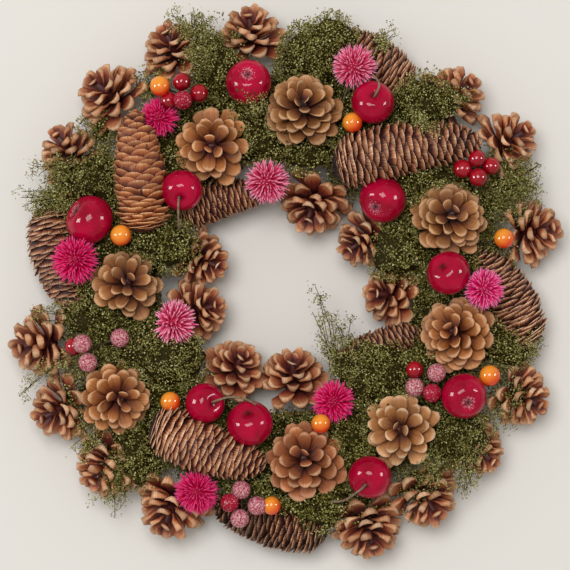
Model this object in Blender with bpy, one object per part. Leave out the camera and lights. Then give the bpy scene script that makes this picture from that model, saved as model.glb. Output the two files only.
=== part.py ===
"""A wreath of dried pine and spruce cones, lacquered apples, berries, dried flowers and moss.

It lies on its back on a flat surface. +Z points out of its face, +Y to the top of the face, and the origin
is in the middle of the hole, on that surface. A straw ring carries a coat of moss, and the rest sits on the
moss. Where two pieces nestle together, the one behind is hollowed to take the one in front.
"""

import itertools
import math
import random

import bmesh
import bpy
from mathutils import Matrix, Vector

MM = 0.001

# The straw ring and its moss coat, in metres and degrees
RING_RADIUS = 0.120
RING_HALF_WIDTH = 0.031
RING_HEIGHT = 0.040
RING_SIDES = 24
RING_PROFILE_STEPS = 5
COAT_THICKNESS = 0.004
COAT_GAP = 0.0004
COAT_END = 0.15

# Clear space round a piece where its neighbour is hollowed for it, and between the side cones and the table
NESTLE_GAP = 0.0004
TABLE_GAP = 0.0008
# The hollow is cut by a skin with one flat face towards each side and each edge of a cube
SKIN_SIDES = [side for side in itertools.product((-1, 0, 1), repeat=3) if side.count(0) in (1, 2)]
SKIN_BLANK = 1.0

# How the scales of an open pine cone are built
CORE_SHARE = 0.23
CORE_TAPER = 0.86
TIER_TWIST = math.radians(38)
SCALE_THICKNESS = 0.0032
FACE_TIERS = 5
FACE_SCALES = 6
SIDE_TIERS = 3
SIDE_SCALES = 6

# How the overlapping scales of a closed spruce cone are built
SPRUCE_SIDES = 7
SPRUCE_TIERS = 7
SPRUCE_LIP = 0.0016
SPRUCE_SCALLOP = 0.0016

SPRIG_LENGTH = 0.004

# Wires and stalks
WIRE_RADIUS = 0.0008
WIRE_SKIN_RADIUS = 0.0016
WIRE_FORK_HEIGHT = 47
STALK_RADIUS = 0.0009
STALK_SKIN_RADIUS = 0.0026

# Every place below is in millimetres and degrees. A lean is counted from upright, towards an azimuth that
# is counted from +X to +Y.
# name: (x, y, z of the middle, lean of the tip, azimuth, radius, length)
FACE_CONES = {
    "pine_cone_face_1": (-51, 97, 60, 4, 200, 28.5, 44),
    "pine_cone_face_2": (12, 124, 60, 17, 95, 28.5, 46),
    "pine_cone_face_3": (114, 48, 60, 12, 75, 28, 46),
    "pine_cone_face_4": (117, -32, 59, 17, 155, 28, 46),
    "pine_cone_face_5": (79, -99, 61, 8, 150, 28, 42),
    "pine_cone_face_6": (13, -120, 60, 12, 115, 29.5, 46),
    "pine_cone_face_7": (-116, -78, 58, 14, 350, 27, 46),
    "pine_cone_face_8": (-110, 2, 57, 8, 70, 26.5, 44),
}
# name: the same for each of two or three cones wired together
SIDE_CONES = {
    "pine_cones_outer_1": [(-154, 97, 28, 58, 124, 22.5, 46), (-126, 136, 31, 52, 140, 25.5, 48)],
    "pine_cones_outer_2": [(-80, 168, 30, 52, 112, 23.5, 46), (-25, 179, 31, 50, 95, 24, 46)],
    "pine_cones_outer_3": [
        (121, 135, 29, 56, 42, 24, 46),
        (158, 103, 30, 56, 32, 23, 46),
        (176, 39, 28, 56, 8, 24, 46),
    ],
    "pine_cones_outer_4": [(168, -79, 29, 52, 332, 23, 46), (136, -116, 27, 58, 318, 21, 44)],
    "pine_cones_outer_5": [(99, -150, 29, 54, 302, 25.5, 48), (58, -172, 29, 52, 286, 26, 48)],
    "pine_cones_outer_6": [(-81, -158, 29, 54, 248, 27, 48), (-127, -128, 28, 56, 226, 25.5, 48)],
    "pine_cones_outer_7": [(-161, -88, 28, 54, 206, 23.5, 46), (-175, -41, 29, 54, 188, 25.5, 48)],
    "pine_cones_inner_1": [(-58, -16, 31, 46, 16, 22, 46), (-56, 17, 30, 50, 338, 20.5, 44)],
    "pine_cones_inner_2": [(-34, -55, 34, 34, 58, 22, 44), (5, -61, 31, 42, 92, 24, 46)],
    "pine_cones_inner_3": [
        (18, 54, 31, 44, 250, 25, 48),
        (52, 30, 29, 50, 212, 21.5, 46),
        (70, -6, 32, 38, 172, 22, 44),
    ],
}
# name: (x, y, z of the middle, azimuth that the tip points to, rise of the tip, radius, length)
SPRUCE_CONES = {
    "spruce_cone_1": (-101, 80, 60, 95, 4, 18.5, 84),
    "spruce_cone_2": (84, 94, 58, 10, 0, 19.5, 104),
    "spruce_cone_3": (-158, 17, 26, 286, 0, 18, 82),
    "spruce_cone_4": (-54, -112, 58, 339, 2, 19, 84),
    "spruce_cone_5": (-12, -164, 25, 167, 0, 18, 84),
    "spruce_cone_6": (153, -7, 28, 118, 6, 19, 82),
    "spruce_cone_7": (56, 160, 26, 148, 0, 17, 78),
    "spruce_cone_8": (-44, 60, 30, 15, 0, 14.5, 66),
    "spruce_cone_9": (65, -44, 28, 26, 0, 14, 66),
}
# name: the apples on one stalk, each (x, y, z of the middle, lean of the dimple that shows, azimuth, radius)
APPLES = {
    "apple_1": [(-26, 141, 60, 25, 95, 15.8)],
    "apple_2": [(-72, 66, 64, 28, 265, 14.5)],
    "apple_3": [(-136, 46, 56, 65, 147, 17)],
    "apple_4": [(60, 127, 62, 25, 85, 15)],
    "apple_5": [(67, 60, 56, 40, 226, 16.3)],
    "apple_6": [(112, 9, 66, 35, 135, 15.2)],
    "apple_7": [(123, -76, 62, 25, 300, 15.8)],
    "apple_8": [(58, -132, 62, 35, 240, 15)],
    "apples_9": [(-56, -81, 60, 35, 0, 14), (-25, -95, 62, 40, 100, 16)],
}
# name: the points that a bent stalk runs through, from inside the dimple. One stalk joins a pair of apples.
APPLE_STALKS = {
    "apple_2": [(-73, 63, 68), (-74, 61, 76), (-74, 52, 78), (-74, 44, 73), (-74, 39, 65)],
    "apple_4": [(60, 129, 68), (61, 131, 76), (64, 136, 78), (64, 141, 76), (60, 145, 72)],
    "apple_8": [(56, -135, 68), (54, -138, 75), (47, -143, 75), (39, -149, 68), (32, -149, 61)],
    "apples_9": [
        (-54, -81, 65),
        (-48, -79, 73),
        (-40, -76, 75),
        (-30, -77, 72),
        (-21, -81, 68),
        (-18, -86, 64),
    ],
}
# name: (x, y, z of the middle, lean, azimuth, radius)
FLOWERS = {
    "flower_1": (47, 152, 56, 25, 75, 16.5),
    "flower_2": (-88, 117, 56, 20, 130, 14.5),
    "flower_3": (-13, 72, 56, 25, 270, 16.5),
    "flower_4": (-146, 18, 60, 20, 190, 17.5),
    "flower_5": (137, -2, 66, 20, 0, 15),
    "flower_6": (-77, -25, 56, 40, 0, 16.5),
    "flower_7": (33, -80, 56, 10, 100, 15.5),
    "flower_8": (-62, -143, 56, 20, 240, 16),
}
# name: (x, y, z of the middle, radius), of each berry in a bunch or of a lone berry
RED_BERRIES = {
    "berries_1": [
        (-87, 138, 66, 7),
        (-72, 141, 64, 6.3),
        (-60, 133, 64, 6.3),
        (-81, 128, 62, 6.3),
        (-71, 128, 70, 6.6),
    ],
    "berries_2": [(132, 88, 62, 6.1), (122, 81, 61, 6.6), (142, 83, 58, 6.1), (133, 75, 62, 6.5)],
    "berries_3": [(89, -58, 60, 6.1), (104, -60, 62, 6.6), (89, -70, 60, 6.6), (101, -74, 62, 6.6)],
    "berries_4": [(-141, -40, 60, 6.6), (-147, -42, 55, 6.3), (-115, -36, 58, 6.6), (-137, -53, 60, 6.6)],
    "berries_5": [
        (-31, -141, 58, 6.6),
        (-39, -150, 58, 6.6),
        (-32, -161, 56, 6.6),
        (-20, -152, 60, 6.6),
        (-10, -152, 58, 6.5),
    ],
}
ORANGE_BERRIES = {
    "orange_berry_1": (-114, 35, 66, 7.3),
    "orange_berry_2": (46, 113, 62, 7),
    "orange_berry_3": (151, 33, 56, 7),
    "orange_berry_4": (141, -62, 60, 7.3),
    "orange_berry_5": (24, -95, 66, 6.7),
    "orange_berry_6": (-80, -80, 60, 7),
}
# name: (first and last azimuth of the stretch, its tufts, each with x, y and z of the middle and half sizes)
MOSS_BEDS = {
    "moss_1": (0, 75, [
        (96, 126, 34, 23, 17, 23),
        (97, 72, 46, 34, 11, 9),
        (152, 58, 30, 18, 27, 20),
        (78, 26, 36, 19, 22, 17),
    ]),
    "moss_2": (75, 180, [
        (-47, 150, 32, 20, 21, 22),
        (17, 160, 32, 22, 20, 22),
        (33, 172, 40, 17, 13, 12),
        (-15, 106, 46, 17, 20, 9),
        (12, 93, 42, 21, 10, 9),
        (-85, 28, 42, 19, 17, 14),
        (-136, 72, 34, 25, 20, 21),
        (-156, 48, 26, 16, 16, 16),
    ]),
    "moss_3": (180, 255, [
        (-141, -24, 32, 20, 11, 17),
        (-88, -48, 46, 32, 21, 8),
        (-108, -114, 34, 20, 27, 20),
    ]),
    "moss_4": (255, 360, [
        (24, -152, 32, 27, 18, 19),
        (45, -108, 46, 14, 24, 9),
        (62, -62, 44, 30, 22, 10),
        (118, -104, 34, 21, 21, 20),
        (154, -38, 28, 19, 19, 19),
    ]),
}

# Each finish: name, linear colour, roughness
STRAW = ("straw", (0.50, 0.38, 0.20), 0.8)
CONE_BROWN = ("pine_cone_scale", (0.32, 0.16, 0.07), 0.65)
SPRUCE_BROWN = ("spruce_cone_scale", (0.36, 0.19, 0.09), 0.6)
APPLE_RED = ("apple_lacquer", (0.52, 0.01, 0.04), 0.12)
BRACT_PINK = ("flower_bract", (0.65, 0.03, 0.22), 0.6)
BERRY_RED = ("red_berry_lacquer", (0.50, 0.02, 0.07), 0.25)
BERRY_ORANGE = ("orange_berry_lacquer", (0.85, 0.24, 0.02), 0.25)
MOSS_GREEN = ("moss", (0.08, 0.09, 0.02), 0.9)


def clear_scene():
    for item in list(bpy.data.objects):
        bpy.data.objects.remove(item, do_unlink=True)


def material(finish):
    """The named Principled material, made once."""
    name, colour, roughness = finish
    found = bpy.data.materials.get(name)
    if found:
        return found
    made = bpy.data.materials.new(name)
    made.use_nodes = True
    shader = made.node_tree.nodes["Principled BSDF"]
    shader.inputs["Base Color"].default_value = (*colour, 1)
    shader.inputs["Roughness"].default_value = roughness
    shader.inputs["Metallic"].default_value = 0
    return made


def to_object(bm, name, finish=None):
    """A scene object from a bmesh, with its faces turned outwards."""
    bmesh.ops.recalc_face_normals(bm, faces=bm.faces)
    mesh = bpy.data.meshes.new(name)
    bm.to_mesh(mesh)
    bm.free()
    made = bpy.data.objects.new(name, mesh)
    bpy.context.scene.collection.objects.link(made)
    if finish:
        mesh.materials.append(material(finish))
    return made


def mix(low, high, share):
    return low + (high - low) * share


def in_metres(point):
    return Vector(point) * MM


def leaning(place, lean=0.0, azimuth=0.0):
    """The matrix that puts a middle at a place in millimetres, with +Z leaning towards an azimuth."""
    turn = Matrix.Rotation(math.radians(azimuth), 4, "Z") @ Matrix.Rotation(math.radians(lean), 4, "Y")
    return Matrix.Translation(in_metres(place)) @ turn


def placed(bm, matrix):
    """Moves a shape to its place, and up where it would reach the table. Gives it with the skin round it."""
    skin = skin_round(bm)
    bmesh.ops.transform(bm, matrix=matrix, verts=bm.verts)
    bmesh.ops.transform(skin, matrix=matrix, verts=skin.verts)
    lift = max(0, TABLE_GAP - min(vert.co.z for vert in bm.verts))
    bmesh.ops.translate(bm, vec=(0, 0, lift), verts=bm.verts)
    bmesh.ops.translate(skin, vec=(0, 0, lift), verts=skin.verts)
    return bm, [mesh_of(skin)]


def skin_round(bm):
    """A closed faceted skin that clears a shape by the nestling gap, cut from a large cube side by side."""
    skin = bmesh.new()
    bmesh.ops.create_cube(skin, size=SKIN_BLANK)
    for side in SKIN_SIDES:
        direction = Vector(side).normalized()
        reach = max(vert.co.dot(direction) for vert in bm.verts) + NESTLE_GAP
        whole = [*skin.verts, *skin.edges, *skin.faces]
        cut = bmesh.ops.bisect_plane(
            skin, geom=whole, plane_co=direction * reach, plane_no=direction, clear_outer=True
        )
        rim = [item for item in cut["geom_cut"] if isinstance(item, bmesh.types.BMEdge)]
        bmesh.ops.edgenet_fill(skin, edges=rim)
    return skin


def mesh_of(bm):
    """A loose mesh from a bmesh, to cut with."""
    bmesh.ops.recalc_face_normals(bm, faces=bm.faces)
    mesh = bpy.data.meshes.new("skin")
    bm.to_mesh(mesh)
    bm.free()
    return mesh


def raise_cap(bm, cap):
    """Extrudes the end face of a body and gives the new end. Only the body's bottom keeps its old end."""
    made = bmesh.ops.extrude_face_region(bm, geom=[cap])["geom"]
    if all(len(edge.link_faces) > 2 for edge in cap.edges):
        bm.faces.remove(cap)
    return next(item for item in made if isinstance(item, bmesh.types.BMFace))


def grow_tier(bm, cap, rise, shrink, twist):
    """Adds one ring to a faceted body. Gives its new end face and the ring of side faces."""
    new_cap = raise_cap(bm, cap)
    centre = new_cap.calc_center_median()
    around = Matrix.Translation(-centre)
    bmesh.ops.scale(bm, vec=(shrink, shrink, 1), space=around, verts=new_cap.verts)
    bmesh.ops.rotate(bm, cent=centre, matrix=Matrix.Rotation(twist, 3, "Z"), verts=new_cap.verts)
    bmesh.ops.translate(bm, vec=(0, 0, rise), verts=new_cap.verts)
    sides = [face for edge in new_cap.edges for face in edge.link_faces if face is not new_cap]
    return new_cap, sides


def upright_body(radius, sides, foot):
    """A new bmesh with one round facing end at a height, and that end to grow the body from."""
    bm = bmesh.new()
    bmesh.ops.create_circle(bm, cap_ends=True, segments=sides, radius=radius)
    bmesh.ops.translate(bm, vec=(0, 0, foot), verts=bm.verts)
    bm.faces.ensure_lookup_table()
    return bm, bm.faces[0]


def close_tip(bm, cap, height):
    """Draws the end face to a point at a height."""
    bmesh.ops.poke(bm, faces=[cap], offset=height - cap.calc_center_median().z)


def pine_cone(radius, length, tiers, per_tier):
    """An open pine cone along +Z, its middle at the origin: keeled scales raised from a slim core."""
    core = radius * CORE_SHARE
    core_length = 0.55 * length
    bm, cap = upright_body(core, per_tier, -0.4 * length)
    rings = []
    for _ in range(tiers):
        half_way = cap.calc_center_median().z + core_length / tiers / 2
        cap, sides = grow_tier(bm, cap, core_length / tiers, CORE_TAPER, TIER_TWIST)
        facets = bmesh.ops.triangulate(bm, faces=sides)["faces"]
        rings.append([facet for facet in facets if facet.calc_center_median().z < half_way])
    close_tip(bm, cap, 0.32 * length)
    for tier, ring in enumerate(rings):
        towards_tip = (tier / (tiers - 1)) ** 2
        rise = math.radians(mix(2, 68, tier / (tiers - 1)))
        reach = (radius - core) * (1 - 0.45 * towards_tip)
        half_width = 0.34 * radius * (1 - 0.5 * towards_tip)
        for face in bmesh.ops.extrude_discrete_faces(bm, faces=ring)["faces"]:
            raise_scale(face, rise, reach, half_width)
    return bm


def raise_scale(face, rise, reach, half_width):
    """Draws an extruded facet of the core out into the broad end of one scale, keeled on its upper side."""
    root = face.calc_center_median()
    outward = Vector((root.x, root.y, 0)).normalized()
    across = Vector((-outward.y, outward.x, 0))
    along = outward * math.cos(rise) + Vector((0, 0, math.sin(rise)))
    through = along.cross(across) * SCALE_THICKNESS / 2
    end = root + along * reach
    *lower, keel = sorted(face.verts, key=lambda vert: vert.co.z)
    left, right = sorted(lower, key=lambda vert: (vert.co - root).dot(across))
    left.co = end - across * half_width - through
    right.co = end + across * half_width - through
    keel.co = end + through


def spruce_cone(radius, length):
    """A closed spruce cone along +Z, its middle at the origin: rings of scalloped, overlapping lips."""
    foot = -length / 2
    pitch = 0.93 * length / SPRUCE_TIERS
    wide = 0.55 * radius
    bm, cap = upright_body(wide, SPRUCE_SIDES, foot)
    for tier in range(1, SPRUCE_TIERS + 1):
        lip = radius * spindle(tier / SPRUCE_TIERS)
        cap, _ = grow_tier(bm, cap, 1.15 * pitch, lip / wide, 0)
        for vert in cap.verts:
            scallop(vert, tier)
        wide = max(lip - 2 * SPRUCE_LIP, 0.3 * radius)
        cap = raise_cap(bm, cap)
        for vert in cap.verts:
            throat = vert.co.xy.normalized() * wide
            vert.co = (throat.x, throat.y, foot + tier * pitch)
    close_tip(bm, cap, length / 2)
    return bm


def spindle(share):
    """How wide a spruce cone is along its length: full near the stalk, drawn in at the tip."""
    return 0.42 + 0.58 * math.sin(math.pi * (0.3 + 0.66 * share)) ** 0.8


def scallop(vert, tier):
    """Pushes every other point of a lip forward, to shape the rounded ends of the scales."""
    step = round(math.atan2(vert.co.y, vert.co.x) / (2 * math.pi / SPRUCE_SIDES))
    forward = 1 if (step + tier) % 2 else -1
    vert.co.z += forward * SPRUCE_SCALLOP
    vert.co.xy *= 1 + 0.05 * forward


def apple(radius):
    """A small apple along +Z, its middle at the origin, with a deep dimple and a slight one."""
    bm = bmesh.new()
    bmesh.ops.create_uvsphere(bm, u_segments=8, v_segments=6, radius=radius)
    for vert in bm.verts:
        height = vert.co.z / radius
        top_dimple = 0.34 * math.exp(-(((1 - height) / 0.16) ** 2))
        eye_dimple = 0.16 * math.exp(-(((1 + height) / 0.12) ** 2))
        vert.co.z *= 0.95 - top_dimple - eye_dimple
    return bm


def stalk(points):
    """A bent stalk, square in section, through points in millimetres, with the skins round it."""
    curve = bpy.data.curves.new("stalk", "CURVE")
    curve.dimensions = "3D"
    curve.bevel_depth = STALK_RADIUS
    curve.bevel_resolution = 0
    curve.use_fill_caps = True
    line = curve.splines.new("POLY")
    line.points.add(len(points) - 1)
    for end, point in zip(line.points, points):
        end.co = (*in_metres(point), 1)
    guide = bpy.data.objects.new("stalk", curve)
    bpy.context.scene.collection.objects.link(guide)
    bpy.context.view_layer.update()
    tube = guide.evaluated_get(bpy.context.evaluated_depsgraph_get())
    bm = bmesh.new()
    bm.from_mesh(bpy.data.meshes.new_from_object(tube))
    bmesh.ops.remove_doubles(bm, verts=bm.verts, dist=0.00001)
    bpy.data.objects.remove(guide, do_unlink=True)
    skins = [mesh_of(rod(start, end, STALK_SKIN_RADIUS)) for start, end in zip(points, points[1:])]
    return bm, skins


def rod(start, end, radius):
    """A straight three-sided rod between two points in millimetres."""
    start, end = in_metres(start), in_metres(end)
    run = end - start
    bm = bmesh.new()
    bmesh.ops.create_cone(bm, cap_ends=True, segments=3, radius1=radius, radius2=radius, depth=run.length)
    turn = run.to_track_quat("Z", "Y").to_matrix().to_4x4()
    bmesh.ops.transform(bm, matrix=Matrix.Translation((start + end) / 2) @ turn, verts=bm.verts)
    return bm


def wire(start, end):
    """A thin wire between two points in millimetres, with the skin round it."""
    return rod(start, end, WIRE_RADIUS), [mesh_of(rod(start, end, WIRE_SKIN_RADIUS))]


def flower_head(radius):
    """A dried everlasting head along +Z: a ball of narrow pointed bracts round a small core."""
    bm = bmesh.new()
    bmesh.ops.create_icosphere(bm, subdivisions=2, radius=0.66 * radius)
    bmesh.ops.scale(bm, vec=(1, 1, 0.86), verts=bm.verts)
    front = [face for face in bm.faces if face.calc_center_median().z > 0]
    bmesh.ops.poke(bm, faces=front, offset=0.36 * radius)
    return bm


def berry(radius):
    bm = bmesh.new()
    bmesh.ops.create_uvsphere(bm, u_segments=6, v_segments=4, radius=radius)
    return bm


def ring_profile(swell):
    """The straw ring's half-round section, grown by the swell, from its outer foot to its inner one."""
    points = []
    for step in range(RING_PROFILE_STEPS + 1):
        angle = math.pi * step / RING_PROFILE_STEPS
        across = (RING_HALF_WIDTH + swell) * math.cos(angle)
        points.append(Vector((RING_RADIUS + across, 0, (RING_HEIGHT + swell) * math.sin(angle))))
    return points


def spun(profile, first, last, steps):
    """The solid that a closed profile in the XZ plane sweeps about +Z between two angles."""
    whole = math.isclose(last - first, 2 * math.pi)
    bm = bmesh.new()
    face = bm.faces.new([bm.verts.new(point) for point in profile])
    bmesh.ops.rotate(bm, cent=(0, 0, 0), matrix=Matrix.Rotation(first, 3, "Z"), verts=bm.verts)
    swept = [*face.edges, *face.verts]
    if whole:
        bm.faces.remove(face)
    else:
        swept.append(face)
    turn = last - first
    bmesh.ops.spin(bm, geom=swept, axis=(0, 0, 1), cent=(0, 0, 0), angle=turn, steps=steps, use_merge=whole)
    return bm


def ring_body(swell):
    """The whole ring, grown by the swell."""
    return spun(ring_profile(swell), 0, 2 * math.pi, RING_SIDES)


def moss_coat(first, last):
    """The thin coat of moss over one stretch of the ring. Its ends stop just short of the next stretch."""
    inside = ring_profile(COAT_GAP)[1:-1]
    outside = ring_profile(COAT_THICKNESS)[1:-1]
    steps = round((last - first) / 360 * RING_SIDES)
    return spun(inside + outside[::-1], math.radians(first + COAT_END), math.radians(last - COAT_END), steps)


def moss_tuft(place, seed):
    """A cushion of moss with its sprigs standing out of the upper side."""
    dice = random.Random(seed)
    bm = bmesh.new()
    bmesh.ops.create_icosphere(bm, subdivisions=1, radius=1.1)
    for vert in bm.verts:
        vert.co *= dice.uniform(0.86, 1.08)
    bmesh.ops.scale(bm, vec=in_metres(place[3:]), verts=bm.verts)
    upper = [face for face in bm.faces if face.calc_center_median().z > 0]
    bmesh.ops.poke(bm, faces=upper[::3], offset=SPRIG_LENGTH)
    bmesh.ops.translate(bm, vec=in_metres(place[:3]), verts=bm.verts)
    return bm


def evaluated_bmesh(item):
    """The object's mesh with its modifiers applied."""
    bpy.context.view_layer.update()
    bm = bmesh.new()
    bm.from_object(item, bpy.context.evaluated_depsgraph_get())
    return bm


def combine(item, helpers, operation):
    """Applies one Boolean of the helpers' collection to the item, then removes the helpers."""
    if not helpers:
        return
    group = bpy.data.collections.new("helpers")
    bpy.context.scene.collection.children.link(group)
    for helper in helpers:
        bpy.context.scene.collection.objects.unlink(helper)
        group.objects.link(helper)
    boolean = item.modifiers.new("join", "BOOLEAN")
    boolean.operation = operation
    boolean.operand_type = "COLLECTION"
    boolean.collection = group
    boolean.solver = "MANIFOLD"
    bm = evaluated_bmesh(item)
    item.modifiers.remove(boolean)
    bm.to_mesh(item.data)
    bm.free()
    for helper in helpers:
        bpy.data.objects.remove(helper, do_unlink=True)
    bpy.data.collections.remove(group)


def box_of(mesh):
    """The lowest and the highest corner of a mesh."""
    corners = [vert.co for vert in mesh.vertices]
    low = Vector([min(corner[axis] for corner in corners) for axis in range(3)])
    high = Vector([max(corner[axis] for corner in corners) for axis in range(3)])
    return low, high


def boxes_meet(first, second):
    (low_a, high_a), (low_b, high_b) = first, second
    return all(low_a[axis] < high_b[axis] and low_b[axis] < high_a[axis] for axis in range(3))


def hollow(item, skins):
    """Cuts the skins of the pieces that are already in place out of the item."""
    box = box_of(item.data)
    cutters = []
    for skin in skins:
        if boxes_meet(box, box_of(skin)):
            cutter = bpy.data.objects.new("cutter", skin)
            bpy.context.scene.collection.objects.link(cutter)
            cutters.append(cutter)
    combine(item, cutters, "DIFFERENCE")


def keep_largest(item):
    """Drops the loose scraps that hollowing leaves."""
    bm = bmesh.new()
    bm.from_mesh(item.data)
    left = set(bm.verts)
    bodies = []
    while left:
        body = joined_to(next(iter(left)))
        left -= body
        bodies.append(body)
    bodies.sort(key=volume_of)
    scraps = [vert for body in bodies[:-1] for vert in body]
    bmesh.ops.delete(bm, geom=scraps, context="VERTS")
    bm.to_mesh(item.data)
    bm.free()


def joined_to(start):
    """Every vertex that edges join to the first one."""
    body = {start}
    reached = [start]
    while reached:
        vert = reached.pop()
        fresh = {edge.other_vert(vert) for edge in vert.link_edges} - body
        body |= fresh
        reached.extend(fresh)
    return body


def volume_of(body):
    """The volume inside one closed body."""
    faces = {face for vert in body for face in vert.link_faces}
    total = 0
    for face in faces:
        corners = [vert.co for vert in face.verts]
        for second, third in zip(corners[1:], corners[2:]):
            total += corners[0].dot(second.cross(third)) / 6
    return total


def settle(name, finish, shapes, skins, coat_skin):
    """Joins a node's shapes in one solid, hollows it for what it nestles against, and adds their skins."""
    first, *rest = [to_object(bm, name, finish) for bm, _ in shapes]
    combine(first, rest, "UNION")
    hollow(first, [coat_skin, *skins])
    keep_largest(first)
    for _, own_skins in shapes:
        skins.extend(own_skins)


def pick(place):
    """The wire that holds a piece: from its middle to the middle of the ring's section below it."""
    ring_middle = Vector(place[:2]).normalized() * RING_RADIUS / MM
    return wire(place, (*ring_middle, RING_HEIGHT / MM / 2))


def bunch(berries):
    """Berries on thin wires that fork above the moss from one wire, which is stuck in the ring."""
    middle = sum((Vector(place[:2]) for place in berries), Vector((0, 0))) / len(berries)
    fork = (*middle, WIRE_FORK_HEIGHT)
    shapes = [pick(fork)]
    for *place, radius in berries:
        shapes.append(placed(berry(radius * MM), leaning(place)))
        shapes.append(wire(fork, place))
    return shapes


def apples_on_a_stalk(name):
    shapes = []
    for x, y, z, lean, azimuth, radius in APPLES[name]:
        shapes.append(pick((x, y, z)))
        shapes.append(placed(apple(radius * MM), leaning((x, y, z), lean, azimuth)))
    if name in APPLE_STALKS:
        shapes.append(stalk(APPLE_STALKS[name]))
    return shapes


def cones_on_a_wire(cones):
    """Side cones of one group, joined through their cores by a wire that ends in the ring."""
    shapes = [pick(cones[0][:3])]
    for x, y, z, lean, azimuth, radius, length in cones:
        cone = pine_cone(radius * MM, length * MM, SIDE_TIERS, SIDE_SCALES)
        shapes.append(placed(cone, leaning((x, y, z), lean, azimuth)))
    for first, second in zip(cones, cones[1:]):
        shapes.append(wire(first[:3], second[:3]))
    return shapes


def grow_moss(name, skins, ring_skin):
    """One stretch of moss: its coat, with tufts that fill the gaps between the pieces on it."""
    first, last, places = MOSS_BEDS[name]
    coat = to_object(moss_coat(first, last), name, MOSS_GREEN)
    tufts = []
    for seed, place in enumerate(places):
        tuft = to_object(moss_tuft(place, seed), "tuft")
        hollow(tuft, [ring_skin, *skins])
        tufts.append(tuft)
    combine(coat, tufts, "UNION")
    keep_largest(coat)


def build():
    clear_scene()
    to_object(ring_body(0), "straw_ring", STRAW)
    ring_skin = mesh_of(ring_body(COAT_GAP))
    coat_skin = mesh_of(ring_body(COAT_THICKNESS + NESTLE_GAP))
    skins = []
    for name, berries in RED_BERRIES.items():
        settle(name, BERRY_RED, bunch(berries), skins, coat_skin)
    for name, (*place, radius) in ORANGE_BERRIES.items():
        lone_berry = [pick(place), placed(berry(radius * MM), leaning(place))]
        settle(name, BERRY_ORANGE, lone_berry, skins, coat_skin)
    for name in APPLES:
        settle(name, APPLE_RED, apples_on_a_stalk(name), skins, coat_skin)
    for name, (x, y, z, lean, azimuth, radius) in FLOWERS.items():
        head = placed(flower_head(radius * MM), leaning((x, y, z), lean, azimuth))
        settle(name, BRACT_PINK, [pick((x, y, z)), head], skins, coat_skin)
    for name, (x, y, z, lean, azimuth, radius, length) in FACE_CONES.items():
        cone = pine_cone(radius * MM, length * MM, FACE_TIERS, FACE_SCALES)
        settle(name, CONE_BROWN, [placed(cone, leaning((x, y, z), lean, azimuth))], skins, coat_skin)
    for name, (x, y, z, azimuth, rise, radius, length) in SPRUCE_CONES.items():
        cone = placed(spruce_cone(radius * MM, length * MM), leaning((x, y, z), 90 - rise, azimuth))
        settle(name, SPRUCE_BROWN, [cone], skins, coat_skin)
    for name, cones in SIDE_CONES.items():
        settle(name, CONE_BROWN, cones_on_a_wire(cones), skins, coat_skin)
    for name in MOSS_BEDS:
        grow_moss(name, skins, ring_skin)


build()
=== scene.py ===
"""The look of a dried wreath: cones, apples, berries, dried flowers and moss on a bound straw ring."""

import math
import random

import bmesh
import bpy
from mathutils import Matrix, Vector, noise
from mathutils.bvhtree import BVHTree


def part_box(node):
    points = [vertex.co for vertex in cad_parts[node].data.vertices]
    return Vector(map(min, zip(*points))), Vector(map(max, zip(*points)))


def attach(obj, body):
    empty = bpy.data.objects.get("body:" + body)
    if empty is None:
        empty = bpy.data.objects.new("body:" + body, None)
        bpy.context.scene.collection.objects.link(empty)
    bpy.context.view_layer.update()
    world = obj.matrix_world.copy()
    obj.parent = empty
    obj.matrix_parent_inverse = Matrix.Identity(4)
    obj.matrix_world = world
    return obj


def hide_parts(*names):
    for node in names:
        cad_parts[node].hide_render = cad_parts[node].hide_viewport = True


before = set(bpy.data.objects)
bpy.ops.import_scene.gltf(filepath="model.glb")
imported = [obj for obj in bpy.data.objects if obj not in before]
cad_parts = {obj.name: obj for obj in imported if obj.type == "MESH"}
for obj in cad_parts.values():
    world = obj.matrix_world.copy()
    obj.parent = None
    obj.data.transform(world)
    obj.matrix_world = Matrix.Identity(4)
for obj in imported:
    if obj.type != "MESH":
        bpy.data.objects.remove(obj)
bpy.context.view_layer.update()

# The straw ring. Bundles of wheat straw are laid round a flat underside and bound with thread, so the
# stalks run along the ring and the thread bites into them. It shows from below and deep between the
# pieces that cover it.
MM = 0.001
RING_RADIUS = 0.120
RING_HALF_WIDTH = 0.0300
RING_HEIGHT = 0.0385
RING_STEPS = 120
SECTION_STEPS = 12
STRAW_BED_TONE = 0.25
STALK_RADIUS = 0.0011
STALK_SIDES = 5
STALK_COUNT = 420
STALK_DEGREES = (12, 30)
STALK_LIFT = 0.3 * MM
STALKS_UNDERNEATH = 0.4
THREAD_RADIUS = 0.0005
THREAD_TURNS = 44
THREAD_POINTS_A_TURN = 18


def linear(code):
    """An sRGB hex colour as linear red, green, blue and alpha."""
    channels = [int(code[start:start + 2], 16) / 255 for start in (1, 3, 5)]
    return (*(c / 12.92 if c <= 0.04045 else ((c + 0.055) / 1.055) ** 2.4 for c in channels), 1)


def add_node(tree, kind, inputs=None, stops=(), **settings):
    """Adds a shader node with its settings, inputs and colour stops, the two outermost stops first.

    An input takes a value, an output, or a node whose first output feeds it.
    """
    node = tree.nodes.new(f"ShaderNode{kind}")
    for name, value in settings.items():
        setattr(node, name, value)
    for name, value in (inputs or {}).items():
        if isinstance(value, bpy.types.Node):
            value = value.outputs[0]
        if isinstance(value, bpy.types.NodeSocket):
            tree.links.new(value, node.inputs[name])
        else:
            node.inputs[name].default_value = value
    for index, (place, code) in enumerate(stops):
        if index < 2:
            element = node.color_ramp.elements[index]
            element.position = place
        else:
            element = node.color_ramp.elements.new(place)
        element.color = linear(code)
    return node


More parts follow.
